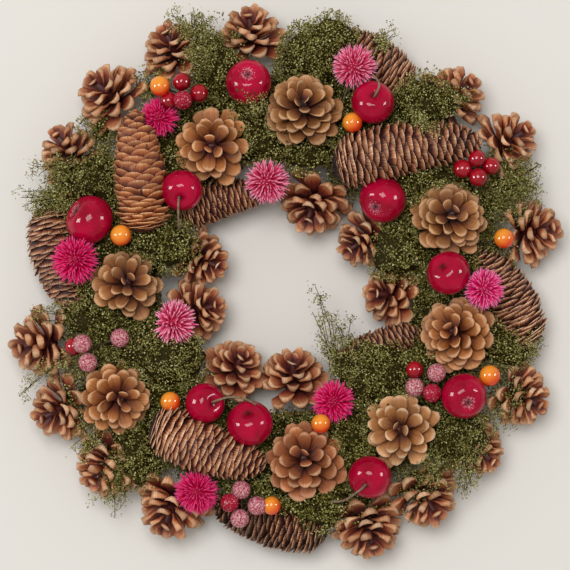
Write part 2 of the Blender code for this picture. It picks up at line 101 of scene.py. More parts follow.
def new_material(name, values):
    """A material with constant values on its shader. Gives the material, its tree and the shader."""
    made = bpy.data.materials.new(name)
    made.use_nodes = True
    shader = made.node_tree.nodes["Principled BSDF"]
    for socket, value in values.items():
        shader.inputs[socket].default_value = value
    return made, made.node_tree, shader


def set_surface(tree, shader, colour, **bump):
    """Feeds a colour node to the shader, and a bump where its inputs are given."""
    tree.links.new(colour.outputs["Color"], shader.inputs["Base Color"])
    if bump:
        relief = add_node(tree, "Bump", bump)
        tree.links.new(relief.outputs["Normal"], shader.inputs["Normal"])


def mesh_from(bm, name):
    """A mesh from a bmesh, smooth shaded."""
    mesh = bpy.data.meshes.new(name)
    bm.to_mesh(mesh)
    bm.free()
    mesh.shade_smooth()
    return mesh


def with_tone(bm, name):
    """Turns a bmesh into a small mesh to stamp, with room for its tone."""
    bm.verts.layers.float.new("tone")
    return mesh_from(bm, name)


def stamp(bm, shape, matrix, tone):
    """Adds a copy of a small mesh, moved by the matrix and carrying its own tone."""
    shape.transform(matrix)
    shape.attributes["tone"].data.foreach_set("value", [tone] * len(shape.vertices))
    bm.from_mesh(shape)
    shape.transform(matrix.inverted())


def finish_piece(bm, name, finishes, node):
    """Makes the piece that stands in for one CAD node."""
    mesh = mesh_from(bm, name)
    for finish in finishes:
        mesh.materials.append(finish)
    made = bpy.data.objects.new(name, mesh)
    bpy.context.scene.collection.objects.link(made)
    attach(made, "root")
    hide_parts(node)


def ring_point(angle, around, swell=0.0):
    """A point on the ring's half round section, at an angle round the ring and one round the section."""
    across = (RING_HALF_WIDTH + swell) * math.cos(around)
    height = max(0, (RING_HEIGHT + swell) * math.sin(around))
    return Matrix.Rotation(angle, 3, "Z") @ Vector((RING_RADIUS + across, 0, height))


# Wheat straw, dried: smooth waxy stalks, golden, with paler and browner ones among them. Its fibres are
# drawn about a millimetre apart, coarser than they are, so that they show.
straw, tree, shader = new_material("dried_wheat_straw", {"Roughness": 0.55})
tone = add_node(tree, "Attribute", attribute_name="tone").outputs["Fac"]
place = add_node(tree, "TexCoord").outputs["Object"]
colour = add_node(
    tree, "ValToRGB", {"Fac": tone}, stops=((0, "#6E5226"), (1, "#D9BC7A"), (0.5, "#A98448"))
)
fibre = add_node(tree, "TexNoise", {"Vector": place, "Scale": 900.0, "Detail": 4.0})
set_surface(tree, shader, colour, Height=fibre, Strength=0.3, Distance=0.0003)

# Binding thread: green cotton, matt
thread, _, _ = new_material("cotton_binding_thread", {"Base Color": linear("#4B4A2C"), "Roughness": 0.85})

ring = bmesh.new()
ring_tone = ring.verts.layers.float.new("tone")
section = [
    ring.verts.new(ring_point(0, math.pi * step / SECTION_STEPS)) for step in range(SECTION_STEPS + 1)
]
outline = [ring.edges.new((first, second)) for first, second in zip(section, section[1:] + section[:1])]
bmesh.ops.spin(
    ring, geom=section + outline, axis=(0, 0, 1), cent=(0, 0, 0),
    angle=2 * math.pi, steps=RING_STEPS, use_merge=True,
)
bmesh.ops.recalc_face_normals(ring, faces=ring.faces)
for vert in ring.verts:
    vert[ring_tone] = STRAW_BED_TONE
dice = random.Random(3)
upright = Matrix.Rotation(math.pi / 2, 4, "X")
for _ in range(STALK_COUNT):
    stalk = bmesh.new()
    around = dice.uniform(-0.05, math.pi + 0.05)
    arc = math.radians(dice.uniform(*STALK_DEGREES))
    bmesh.ops.create_circle(stalk, segments=STALK_SIDES, radius=STALK_RADIUS, matrix=upright)
    if dice.random() < STALKS_UNDERNEATH:
        foot = Vector((RING_RADIUS + dice.uniform(-0.9, 0.9) * RING_HALF_WIDTH, 0, STALK_RADIUS))
    else:
        foot = ring_point(0, around, STALK_LIFT)
        foot.z = max(foot.z, STALK_RADIUS)
    bmesh.ops.translate(stalk, vec=foot, verts=stalk.verts)
    bmesh.ops.spin(
        stalk, geom=stalk.verts[:] + stalk.edges[:], axis=(0, 0, 1), cent=(0, 0, 0), angle=arc, steps=6,
    )
    bmesh.ops.holes_fill(stalk, edges=stalk.edges, sides=STALK_SIDES)
    bmesh.ops.recalc_face_normals(stalk, faces=stalk.faces)
    shape = with_tone(stalk, "stalk")
    stamp(ring, shape, Matrix.Rotation(dice.uniform(0, 2 * math.pi), 4, "Z"), dice.random())
    bpy.data.meshes.remove(shape)


def add_tube(bm, points, radius, index, resolution=2, kind="NURBS", cyclic=False):
    """A round tube through points in millimetres, in the material of the index."""
    curve = bpy.data.curves.new("tube", "CURVE")
    curve.dimensions = "3D"
    curve.bevel_depth = radius
    curve.bevel_resolution = resolution
    curve.use_fill_caps = True
    path = curve.splines.new(kind)
    path.points.add(len(points) - 1)
    path.use_endpoint_u = True
    path.use_cyclic_u = cyclic
    path.order_u = 3
    path.resolution_u = 6
    for end, point in zip(path.points, points):
        end.co = (*(Vector(point) * MM), 1)
    guide = bpy.data.objects.new("tube", curve)
    bpy.context.scene.collection.objects.link(guide)
    bpy.context.view_layer.update()
    mesh = bpy.data.meshes.new_from_object(guide.evaluated_get(bpy.context.evaluated_depsgraph_get()))
    bpy.data.objects.remove(guide, do_unlink=True)
    before = len(bm.faces)
    bm.from_mesh(mesh)
    bm.faces.ensure_lookup_table()
    for face in bm.faces[before:]:
        face.material_index = index
    bpy.data.meshes.remove(mesh)


winding = []
for index in range(THREAD_TURNS * THREAD_POINTS_A_TURN):
    around = 2 * math.pi * index / THREAD_POINTS_A_TURN
    spot = ring_point(around / THREAD_TURNS, around, STALK_RADIUS + THREAD_RADIUS)
    winding.append((spot.x / MM, spot.y / MM, max(spot.z, THREAD_RADIUS) / MM))
add_tube(ring, winding, THREAD_RADIUS, 1, resolution=1, kind="POLY", cyclic=True)
finish_piece(ring, "bound_straw", [straw, thread], "straw_ring")

# The spruce cones. Each is a long closed cone of thin papery scales that overlap like shingles, tan at
# their rounded ends and maroon where the next one covers them, partly their own colour and partly
# painted shade. They lie flat, glued and wired down.
GOLDEN_TURN = math.radians(137.508)
TABLE_GAP = 0.0008
SPRUCE_SCALES_A_ROW = 9
SPRUCE_LOOSENESS = 0.7

# The half width of a scale as a share of the cone's radius. As shares of its length: the rounded foot,
# the tip where the scales get smaller, and the end that closes.
SPRUCE_SCALE_HALF_WIDTH = 0.42
SPRUCE_FOOT = 0.2
SPRUCE_TIP = 0.2
SPRUCE_CLOSING = 0.12

# The core in three stretches, each (its foot and top as shares of the length, its widths there)
SPRUCE_CORE = ((-0.47, -0.3, 0.15, 0.75), (-0.3, 0.2, 0.75, 0.8), (0.2, 0.45, 0.8, 0.1))

# name: (x, y, z of the middle in mm, azimuth of the tip, its rise, radius, length, rows of scales, how
# far the scales open, how far the middle bows away from the wreath's centre, finish)
SPRUCE_CONES = {
    "spruce_cone_1": (-101, 80, 60, 95, 4, 18.5, 84, 20, 15, 0, "orange"),
    "spruce_cone_2": (84, 94, 58, 10, 0, 19.5, 104, 23, 32, 4, "dry"),
    "spruce_cone_3": (-158, 17, 26, 286, 0, 18, 82, 23, 32, 9, "dry"),
    "spruce_cone_4": (-54, -112, 58, 339, 2, 19, 84, 22, 30, 3, "pale"),
    "spruce_cone_5": (-12, -164, 25, 167, 0, 18, 84, 25, 34, 5, "brown"),
    "spruce_cone_6": (153, -7, 28, 118, 6, 19, 82, 26, 34, 9, "dry"),
    "spruce_cone_7": (56, 160, 26, 148, 0, 17, 78, 22, 34, 6, "dry"),
    "spruce_cone_8": (-44, 60, 30, 15, 0, 14.5, 66, 20, 32, 3, "dry"),
    "spruce_cone_9": (65, -44, 32, 26, 0, 14, 66, 20, 32, -3, "dry"),
}


def mix(low, high, share):
    """The value a share of the way from low to high."""
    return low + (high - low) * share


def leaning(place, lean=0.0, azimuth=0.0):
    """The matrix that puts a middle at a place in mm, with +Z leaning towards an azimuth in degrees."""
    turn = Matrix.Rotation(math.radians(azimuth), 4, "Z") @ Matrix.Rotation(math.radians(lean), 4, "Y")
    return Matrix.Translation(Vector(place) * MM) @ turn


def blade(
    name, columns, rows, thickness, neck, rounding, curl, hollow=0.0, swell=0.0, point=0.0, lip=1.0
):
    """A scale one unit long and two wide: root at the origin, end along +Y, inner face along +Z.

    Neck is how wide its root is, rounding how far the corners of its end draw back, curl and hollow how
    far its end and its sides bend inwards, swell how far its outer face bulges, and point how much it
    tapers. The UV map grain runs across it in U and along it in V. The corner attribute reach grows from
    the root to the end and is highest on the rim, where it comes to lip.
    """
    bm = bmesh.new()
    bmesh.ops.create_grid(bm, x_segments=columns, y_segments=rows, size=1)
    for vert in bm.verts:
        across = math.copysign(abs(vert.co.x) ** 0.75, vert.co.x)
        along = 1 - ((1 - vert.co.y) / 2) ** 1.4
        width = mix(neck, 1, min(1, along / 0.7) ** 1.3) * (1 - point * max(0, along - 0.4) / 0.6)
        end = rounding * abs(across) ** 2.4 * along ** 2
        vert.co = (across * width, along - end, curl * along ** 2 + hollow * across ** 2 * along)
    bmesh.ops.solidify(bm, geom=bm.faces[:], thickness=thickness)
    bmesh.ops.recalc_face_normals(bm, faces=bm.faces)
    grain = bm.loops.layers.uv.new("grain")
    reach = bm.loops.layers.float.new("reach")
    for vert in bm.verts:
        if any(face.normal.z < -0.6 for face in vert.link_faces):
            vert.co.z -= swell * vert.co.y ** 2 * (1 - 0.8 * min(1, abs(vert.co.x)) ** 2)
    for face in bm.faces:
        for loop in face.loops:
            along = max(0, loop.vert.co.y)
            loop[grain].uv = (loop.vert.co.x, along)
            if abs(face.normal.z) < 0.6:
                loop[reach] = mix(0.35, lip, along)
            else:
                loop[reach] = 0.95 * along ** 1.5
    return with_tone(bm, name)


def add_core(bm, place, foot, top, wide, narrow):
    """A plain woody core between two heights on the axis, wide at its foot and narrow at its top."""
    core = bmesh.new()
    bmesh.ops.create_cone(
        core, cap_ends=True, segments=12, radius1=wide, radius2=narrow, depth=top - foot
    )
    shape = with_tone(core, "core")
    stamp(bm, shape, place @ Matrix.Translation((0, 0, (top + foot) / 2)), 0)
    bpy.data.meshes.remove(shape)


# The solids that cones and moss nestle against, so that no scale or spray sticks into them
solids = {}
for name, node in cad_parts.items():
    if name.startswith(("apple", "berries", "orange", "flower")):
        corners = [vert.co.copy() for vert in node.data.vertices]
        faces = [tuple(face.vertices) for face in node.data.polygons]
        solids[name] = (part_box(name), BVHTree.FromPolygons(corners, faces))


def taken(point, own):
    """Whether a point lies inside another piece."""
    for name, ((low, high), surface) in solids.items():
        if name == own or not all(low[axis] < point[axis] < high[axis] for axis in range(3)):
            continue
        nearest, normal, _, _ = surface.find_nearest(point)
        if nearest and (point - nearest).dot(normal) < 0:
            return True
    return False


def cover_with_scales(bm, shapes, count, arrange, place, dice, own, loose):
    """Stands scales round an axis from base to tip, each a golden turn on from the last.

    Arrange gives the root, end and half width of a scale from its share of the way to the tip. Loose is
    how far the scales stray. One whose end would stick into another piece is left out.
    """
    for step in range(count):
        root, end, half_width = arrange(step / (count - 1))
        run = end - root
        length = run.length * dice.uniform(0.95, 1.05)
        turn = Matrix.Rotation(step * GOLDEN_TURN + loose * dice.uniform(-0.07, 0.07), 4, "Z")
        tilt = Matrix.Rotation(math.atan2(run.y, run.x) + loose * dice.uniform(-0.05, 0.05), 4, "X")
        roll = Matrix.Rotation(loose * dice.uniform(-0.12, 0.12), 4, "Y")
        size = Matrix.Diagonal((half_width * dice.uniform(0.92, 1.08), length, length, 1))
        matrix = place @ turn @ Matrix.Translation((0, root.x, root.y)) @ tilt @ roll @ size
        if not taken(matrix @ Vector((0, 0.92, 0)), own):
            stamp(bm, dice.choice(shapes), matrix, dice.random())


def lift_off_table(bm):
    """Moves a piece up where it would reach the table."""
    lift = max(0, TABLE_GAP - min(vert.co.z for vert in bm.verts))
    bmesh.ops.translate(bm, vec=(0, 0, lift), verts=bm.verts)


def scale_finish(name, shade, root, throat, body, end, rim):
    """A scale's finish: dark up to the share shade, then lighter, with a pale rim. The dark part is
    partly its own colour and partly painted shade where other scales cover it.

    Streaks just under a millimetre wide run along it, and blotches 9 mm wide change its value.
    """
    made, tree, shader = new_material(name, {"Roughness": 0.6})
    reach = add_node(tree, "Attribute", attribute_name="reach").outputs["Fac"]
    tone = add_node(tree, "Attribute", attribute_name="tone").outputs["Fac"]
    place = add_node(tree, "TexCoord").outputs["Object"]
    grain = add_node(tree, "UVMap", uv_map="grain")
    along = add_node(tree, "Mapping", {"Vector": grain, "Scale": (9, 1.1, 1)})
    seed = add_node(tree, "Math", {0: tone, 1: 50.0}, operation="MULTIPLY")
    streak = add_node(
        tree, "TexNoise",
        {"Vector": along, "W": seed, "Scale": 1.0, "Detail": 5.0, "Roughness": 0.65},
        noise_dimensions="4D",
    )
    blotch = add_node(tree, "TexNoise", {"Vector": place, "Scale": 110.0, "Detail": 3.0})
    shift = add_node(tree, "Math", {0: streak, 1: 0.7, 2: -0.35}, operation="MULTIPLY_ADD")
    shifted = add_node(tree, "Math", {0: reach, 1: shift}, operation="ADD")
    halfway, near_end = mix(shade, 1, 0.28), mix(shade, 1, 0.68)
    # Up to the share shade the ramp darkens the scale: painted shade where other scales cover it, over its
    # own darker colour
    ramp = add_node(
        tree, "ValToRGB", {"Fac": shifted},
        stops=((0.1, root), (1, rim), (shade, throat), (halfway, body), (near_end, end)),
    )
    spread = add_node(tree, "Math", {0: tone, 1: 0.4, 2: 0.55}, operation="MULTIPLY_ADD")
    value = add_node(tree, "Math", {0: blotch, 1: 0.5, 2: spread}, operation="MULTIPLY_ADD")
    tint = add_node(tree, "HueSaturation", {"Color": ramp, "Value": value})
    set_surface(tree, shader, tint, Height=streak, Strength=0.8, Distance=0.0009)
    return made


# Dry spruce scales: thin and papery, tan, and maroon under each, partly their own colour and partly
# painted shade. One cone is paler all over, a painted light where more light falls on it, one more
# orange, and one darker all over.
SPRUCE_COLOURS = {
    "dry": (0.67, "#200401", "#3C0E05", "#824626", "#B87E54", "#F4D2AE"),
    "pale": (0.66, "#2A0602", "#4A1408", "#965430", "#CA9066", "#FADCB8"),
    "orange": (0.55, "#3E1004", "#642208", "#944A1A", "#B46C34", "#ECBA84"),
    "brown": (0.73, "#140301", "#300C04", "#643212", "#92592F", "#E2B88C"),
}
spruce_finishes = {
    cast: scale_finish(f"{cast}_spruce_scale", *colours) for cast, colours in SPRUCE_COLOURS.items()
}
spruce_shapes = [
    blade("spruce_scale_a", 6, 4, 0.022, neck=0.72, rounding=0.21, hollow=0.13, curl=-0.04),
    blade("spruce_scale_b", 6, 4, 0.022, neck=0.68, rounding=0.27, hollow=0.11, curl=-0.07),
    blade("spruce_scale_c", 6, 4, 0.022, neck=0.72, rounding=0.17, hollow=0.15, curl=-0.01),
]


def spindle(share):
    """How wide a spruce cone is: rounded at the stalk, then full, drawn in at the tip."""
    body = 0.42 + 0.58 * math.sin(math.pi * (0.3 + 0.66 * share)) ** 0.8
    foot = max(0, SPRUCE_FOOT - share) / SPRUCE_FOOT
    closing = max(0, share - (1 - SPRUCE_CLOSING)) / SPRUCE_CLOSING
    closed = 0.12 + 0.88 * math.sqrt(max(0, 1 - closing ** 2))
    return body * (0.3 + 0.7 * math.sqrt(1 - foot ** 2)) * closed


for number, (name, values) in enumerate(SPRUCE_CONES.items()):
    x, y, z, azimuth, rise, radius, length, rows, opening, bow, finish = values
    radius, length = radius * MM, length * MM
    scale_length = 0.145 * length + 0.2 * radius
    slope = math.radians(opening)

    def arrange(share):
        """A scale of a spruce cone: smaller in the tip, its root kept within the rounded foot."""
        drawn_in = max(0, share - (1 - SPRUCE_TIP)) / SPRUCE_TIP
        end = Vector((radius * spindle(share), mix(-0.48, 0.5, share ** 1.2) * length))
        reach = scale_length * mix(1, 0.6, drawn_in)
        root = end - reach * Vector((math.sin(slope), math.cos(slope)))
        root.y = max(root.y, -0.5 * length)
        widest = (0.1 + 2.4 * (root.y / length + 0.5)) * radius
        root.x = max(min(root.x, widest), 0.05 * radius)
        return root, end, SPRUCE_SCALE_HALF_WIDTH * radius * mix(1, 0.5, drawn_in)

    cone = bmesh.new()
    place = leaning((x, y, z), 90 - rise, azimuth)
    core_width = max(0.3 * radius, radius - scale_length * math.sin(slope))
    for foot, top, wide, narrow in SPRUCE_CORE:
        add_core(cone, place, foot * length, top * length, wide * core_width, narrow * core_width)
    cover_with_scales(
        cone, spruce_shapes, rows * SPRUCE_SCALES_A_ROW, arrange, place,
        random.Random(number), name, SPRUCE_LOOSENESS,
    )
    # The cone bends: its middle moves out by a third of the bow, its ends move in by the rest
    middle, axis = place.to_translation(), place.to_3x3() @ Vector((0, 0, 1))
    outwards = Vector((x, y, 0)) - Vector((x, y, 0)).dot(axis) * axis
    for vert in cone.verts:
        along = (vert.co - middle).dot(axis) / length
        vert.co += outwards.normalized() * bow * MM * (0.33 - 4 * along ** 2)
    lift_off_table(cone)
    finish_piece(cone, f"{name}_scales", [spruce_finishes[finish]], name)

# The pine cones. Wide open cones of stiff woody scales, maroon inside, partly their own colour and
# partly painted shade, and tan towards their pale lips. Eight stand on their base with the tip up. The
# others lie round the rim and the hole, wired in twos and threes.
PINE_LOOSENESS = 2.2
SIDE_SCALES = 34
SIDE_SPREAD = 1.12

# Where a pine cone's scales start and end and where its core ends, from its middle as shares of its length
PINE_LOWEST = -0.3
PINE_HIGHEST = 0.38
PINE_CORE_TOP = 0.26

# name: (x, y, z of the middle in mm, lean of the tip, azimuth, radius, length, scales, finish)
FACE_CONES = {
    "pine_cone_face_1": (-51, 97, 60, 4, 200, 28.5, 44, 32, "tan"),
    "pine_cone_face_2": (12, 124, 60, 17, 95, 28.5, 46, 44, "olive"),
    "pine_cone_face_3": (114, 48, 60, 12, 75, 28, 46, 42, "olive"),
    "pine_cone_face_4": (117, -32, 59, 17, 155, 28, 46, 42, "tan"),
    "pine_cone_face_5": (79, -99, 61, 8, 150, 28, 42, 29, "pale"),
    "pine_cone_face_6": (13, -120, 60, 12, 115, 29.5, 46, 34, "orange"),
    "pine_cone_face_7": (-116, -78, 58, 14, 350, 27, 46, 36, "tan"),
    "pine_cone_face_8": (-110, 2, 57, 8, 70, 26.5, 44, 30, "olive"),
}

# name: its cones, each (x, y, z of the middle in mm, lean of the tip, azimuth, radius, length)
SIDE_CONES = {
    "pine_cones_outer_1": [(-154, 97, 28, 58, 124, 22.5, 46), (-126, 136, 31, 52, 140, 25.5, 48)],
    "pine_cones_outer_2": [(-80, 168, 30, 52, 112, 23.5, 46), (-25, 179, 31, 50, 95, 24, 46)],
    "pine_cones_outer_3": [
        (121, 135, 29, 56, 42, 24, 46), (158, 103, 30, 56, 32, 23, 46), (176, 39, 28, 56, 8, 24, 46),
    ],
    "pine_cones_outer_4": [(168, -79, 29, 52, 332, 23, 46), (136, -116, 27, 58, 318, 21, 44)],
    "pine_cones_outer_5": [(99, -150, 29, 54, 302, 25.5, 48), (58, -172, 29, 52, 286, 26, 48)],
    "pine_cones_outer_6": [(-81, -158, 29, 54, 248, 27, 48), (-127, -128, 28, 56, 226, 25.5, 48)],
    "pine_cones_outer_7": [(-161, -88, 28, 54, 206, 23.5, 46), (-175, -41, 29, 54, 188, 25.5, 48)],
    "pine_cones_inner_1": [(-58, -16, 31, 46, 16, 22, 46), (-56, 17, 30, 50, 338, 20.5, 44)],
    "pine_cones_inner_2": [(-34, -55, 34, 34, 58, 22, 44), (5, -61, 31, 42, 92, 24, 46)],
    "pine_cones_inner_3": [
        (18, 54, 31, 44, 250, 25, 48), (52, 30, 29, 50, 212, 21.5, 46), (70, -6, 32, 38, 172, 22, 44),
    ],
}

# Dry pine scales: stiff wood, brown with an orange, olive, pale or maroon cast from cone to cone
PINE_COLOURS = {
    "tan": (0.30, "#481608", "#74340F", "#A05E2C", "#BA7A46", "#E0AE80"),
    "olive": (0.30, "#3C1406", "#683010", "#905628", "#AC7644", "#D6A678"),
    "orange": (0.30, "#441206", "#6C2C0E", "#9A5226", "#B26C40", "#DAA478"),
    "pale": (0.28, "#50200C", "#80441B", "#AC7038", "#C28A58", "#E8C49C"),
    "maroon": (0.36, "#50140E", "#7E2C1C", "#B0603A", "#C68C60", "#ECC8A2"),
}
pine_finishes = {
    cast: scale_finish(f"pine_scale_{cast}", *colours) for cast, colours in PINE_COLOURS.items()
}
pine_shapes = [
    blade("pine_scale_a", 5, 4, 0.05, neck=0.42, rounding=0.18, hollow=0.05, curl=0.08, swell=0.05),
    blade("pine_scale_b", 5, 4, 0.06, neck=0.38, rounding=0.26, hollow=-0.04, curl=0.12, swell=0.05),
    blade("pine_scale_c", 5, 4, 0.05, neck=0.48, rounding=0.12, hollow=0.08, curl=0.02, swell=0.04),
    blade("pine_scale_d", 5, 4, 0.05, neck=0.40, rounding=0.32, hollow=0.02, curl=0.18, swell=0.05),
]
# Seen from the side, a scale of the same cone ends in a thick rhombic pad
pad_shapes = [
    blade("pad_a", 5, 4, 0.07, neck=0.32, rounding=0.24, curl=0.12, hollow=0.04, swell=0.15, lip=0.82),
    blade("pad_b", 5, 4, 0.07, neck=0.3, rounding=0.32, curl=0.18, hollow=-0.02, swell=0.18, lip=0.86),
    blade("pad_c", 5, 4, 0.06, neck=0.36, rounding=0.18, curl=0.06, hollow=0.06, swell=0.12, lip=0.9),
]


def pine_cone(bm, shapes, place, radius, length, count, dice, own, rises, inner, half_width):
    """An open pine cone, its middle at the place.

    Rises are how many degrees its lowest and highest scales stand up. Inner is how far out the high ones
    come and half_width how wide a low one is, both as shares of the radius.
    """
    def arrange(share):
        """A scale of a pine cone: rooted near the axis, steeper and narrower the higher it sits."""
        out = mix(0.15, mix(inner, 1, (1 - share) ** 0.65), min(1, (1 - share) / 0.12))
        end = Vector((radius * out, mix(PINE_LOWEST, PINE_HIGHEST, share) * length))
        root = Vector((radius * mix(0.2, 0.02, share), 0))
        steep = math.tan(math.radians(mix(*rises, share)))
        root.y = max(end.y - (end.x - root.x) * steep, -0.42 * length)
        return root, end, half_width * radius * mix(0.5, 1, (1 - share) ** 0.7)

    add_core(bm, place, PINE_LOWEST * length, PINE_CORE_TOP * length, 0.22 * radius, 0.04 * radius)
    cover_with_scales(bm, shapes, count, arrange, place, dice, own, PINE_LOOSENESS)


for number, (name, values) in enumerate(FACE_CONES.items()):
    x, y, z, lean, azimuth, radius, length, count, finish = values
    cone = bmesh.new()
    place = leaning((x, y, z), lean, azimuth)
    pine_cone(
        cone, pine_shapes, place, radius * MM, length * MM, count, random.Random(20 + number), name,
        rises=(2, 46), inner=0.44, half_width=0.23,
    )
    finish_piece(cone, f"{name}_scales", [pine_finishes[finish]], name)

for number, (name, cones) in enumerate(SIDE_CONES.items()):
    group = bmesh.new()
    dice = random.Random(40 + number)
    for x, y, z, lean, azimuth, radius, length in cones:
        place = leaning((x, y, z), lean, azimuth)
        pine_cone(
            group, pad_shapes, place, SIDE_SPREAD * radius * MM, length * MM, SIDE_SCALES, dice, name,
            rises=(-4, 52), inner=0.3, half_width=0.22,
        )
    lift_off_table(group)
    finish_piece(group, f"{name}_scales", [pine_finishes["maroon"]], name)

# The apples. Small foam apples dipped in crimson lacquer, each with a deep dimple. Some keep a bent dry
# stalk. The others show the eye, and on four of them sugar frost stuck round it to the wet lacquer.
APPLE_STALK_RADIUS = 0.0008
PICK_RADIUS = 0.0008
PICK_FOOT_MM = 30
FROSTED_APPLES = ("apple_1", "apple_3", "apple_5", "apple_7")
APPLE_LOBES = 5

# Shares of an apple's radius: its half height, how deep its lobes and its dimples are, and how far the
# dimples, the dark eye and the frost reach down from its ends
APPLE_HEIGHT = 0.95
LOBE_DEPTH = 0.018
DIMPLE_DEPTH = 0.24
FAR_DIMPLE_DEPTH = 0.16
DIMPLE_REACH = 0.08
EYE_REACH = 0.012
FROST_REACH = 0.06

# name: its apples, each (x, y, z of the middle in mm, lean of the end on show, azimuth, radius)
APPLES = {
    "apple_1": [(-26, 141, 60, 25, 95, 15.8)],
    "apple_2": [(-72, 66, 64, 28, 265, 14.5)],
    "apple_3": [(-136, 46, 56, 65, 147, 17)],
    "apple_4": [(60, 127, 62, 25, 85, 15)],
    "apple_5": [(67, 60, 56, 40, 226, 16.3)],
    "apple_6": [(112, 9, 66, 35, 135, 15.2)],
    "apple_7": [(123, -76, 62, 25, 300, 15.8)],
    "apple_8": [(58, -132, 62, 35, 240, 15)],
    "apples_9": [(-56, -81, 60, 35, 0, 14), (-25, -95, 62, 40, 100, 16)],
}

# name: the points in mm that its bent stalk follows
APPLE_STALKS = {
    "apple_2": [(-73, 63, 68), (-74, 61, 76), (-74, 52, 78), (-74, 44, 73), (-74, 39, 65)],
    "apple_4": [(60, 129, 68), (61, 131, 76), (64, 136, 78), (64, 141, 76), (60, 145, 72)],
    "apple_8": [(56, -135, 68), (54, -138, 75), (47, -143, 75), (39, -149, 68), (32, -149, 61)],
    "apples_9": [
        (-54, -81, 65), (-48, -79, 73), (-40, -76, 75),
        (-30, -77, 72), (-21, -81, 68), (-18, -86, 64),
    ],
}

# Crimson lacquer: a deep clear coat that mirrors the windows, with whitish frost specks, about a
# millimetre wide, round some eyes
lacquer, tree, shader = new_material("crimson_apple_lacquer", {
    "Specular IOR Level": 0.0, "Coat Weight": 1.0, "Coat IOR": 1.32, "Coat Roughness": 0.03,
})
place = add_node(tree, "TexCoord").outputs["Object"]
frost = add_node(tree, "Attribute", attribute_name="frost").outputs["Fac"]
eye = add_node(tree, "Attribute", attribute_name="eye").outputs["Fac"]
mottle = add_node(tree, "TexNoise", {"Vector": place, "Scale": 70.0, "Detail": 3.0})
speck = add_node(tree, "TexNoise", {"Vector": place, "Scale": 900.0, "Detail": 3.0, "Roughness": 0.7})
body = add_node(tree, "ValToRGB", {"Fac": mottle}, stops=((0.3, "#8E0020"), (0.7, "#BA0438")))
speck_here = add_node(tree, "Math", {0: speck, 1: frost}, operation="MULTIPLY")
speck_mask = add_node(tree, "MapRange", {"Value": speck_here, "From Min": 0.48, "From Max": 0.60})
speckled = add_node(tree, "MixRGB", {"Fac": speck_mask, "Color1": body, "Color2": linear("#D98C9C")})
with_eye = add_node(tree, "MixRGB", {"Fac": eye, "Color1": speckled, "Color2": linear("#2A0B06")})
set_surface(tree, shader, with_eye)

# Dry apple stalk: rough grey brown wood, like the taped wires under apples and flowers. Its grain is
# drawn over a millimetre wide, so that it shows.
stalk_wood, tree, shader = new_material("dry_apple_stalk", {"Roughness": 0.8})
place = add_node(tree, "TexCoord").outputs["Object"]
grain = add_node(tree, "TexNoise", {"Vector": place, "Scale": 700.0, "Detail": 4.0})
colour = add_node(tree, "ValToRGB", {"Fac": grain}, stops=((0.3, "#4E3826"), (0.75, "#9C8266")))
set_surface(tree, shader, colour)


def join(bm, part):
    """Adds a part to a piece, smooth shaded, with its own attributes."""
    mesh = mesh_from(part, "part")
    bm.from_mesh(mesh)
    bpy.data.meshes.remove(mesh)


def apple(bm, place, radius, frosted):
    """One apple, its dimple on show along +Z. The attributes eye and frost are highest in it."""
    fruit = bmesh.new()
    bmesh.ops.create_uvsphere(fruit, u_segments=48, v_segments=32, radius=radius)
    frost = fruit.verts.layers.float.new("frost")
    eye = fruit.verts.layers.float.new("eye")
    for vert in fruit.verts:
        height = vert.co.z / radius
        around = math.atan2(vert.co.y, vert.co.x)
        dimple = DIMPLE_DEPTH * math.exp((height - 1) / DIMPLE_REACH)
        far_dimple = FAR_DIMPLE_DEPTH * math.exp((-1 - height) / DIMPLE_REACH)
        vert[eye] = math.exp((height - 1) / EYE_REACH)
        vert[frost] = 0.74 + 0.34 * math.exp(-(((1 - height) / FROST_REACH) ** 2)) if frosted else 0
        vert.co.xy *= 1 + LOBE_DEPTH * math.cos(APPLE_LOBES * around) * height ** 2
        vert.co.z *= APPLE_HEIGHT - dimple - far_dimple
    bmesh.ops.transform(fruit, matrix=place, verts=fruit.verts)
    join(bm, fruit)


def add_pick(bm, place, index, resolution=2):
    """The wire that holds a piece, from its middle in mm down into the ring below it."""
    ring_middle = Vector(place[:2]).normalized() * RING_RADIUS / MM
    add_tube(bm, [place, (*ring_middle, PICK_FOOT_MM)], PICK_RADIUS, index, resolution)


for name, fruits in APPLES.items():
    bunch = bmesh.new()
    for x, y, z, lean, azimuth, radius in fruits:
        apple(bunch, leaning((x, y, z), lean, azimuth), radius * MM, name in FROSTED_APPLES)
        add_pick(bunch, (x, y, z), 1)
    if name in APPLE_STALKS:
        add_tube(bunch, APPLE_STALKS[name], APPLE_STALK_RADIUS, 1)
    finish_piece(bunch, f"{name}_skin", [lacquer, stalk_wood], name)

# The flowers. Dried everlasting heads dyed magenta: a ball of stiff narrow bracts round a small core,
# paler at the tips, each on a wire.
BRACT_LOOSENESS = 2.0

# Shares of a head's radius: its height, its core, and where its bracts start, end and sit lowest
HEAD_HEIGHT = 0.86
HEAD_CORE = 0.5
BRACT_ROOT = 0.3
BRACT_REACH = (0.84, 1.04)
BRACT_LOWEST = -0.5

# name: (x, y, z of the middle in mm, lean, azimuth, radius, half width of a bract in mm, bracts, finish)
FLOWERS = {
    "flower_1": (47, 152, 56, 25, 75, 16.5, 0.7, 300, "light"),
    "flower_2": (-88, 117, 56, 20, 130, 14.5, 0.75, 340, "deep"),
    "flower_3": (-13, 72, 56, 25, 270, 16.5, 0.85, 280, "light"),
    "flower_4": (-146, 18, 60, 20, 190, 17.5, 0.8, 360, "deep"),
    "flower_5": (137, -2, 66, 20, 0, 15, 0.75, 320, "bright"),
    "flower_6": (-77, -25, 56, 40, 0, 16.5, 1.3, 200, "light"),
    "flower_7": (33, -80, 56, 10, 100, 15.5, 0.85, 320, "deep"),
    "flower_8": (-62, -143, 56, 20, 240, 16, 0.7, 400, "deep"),
}


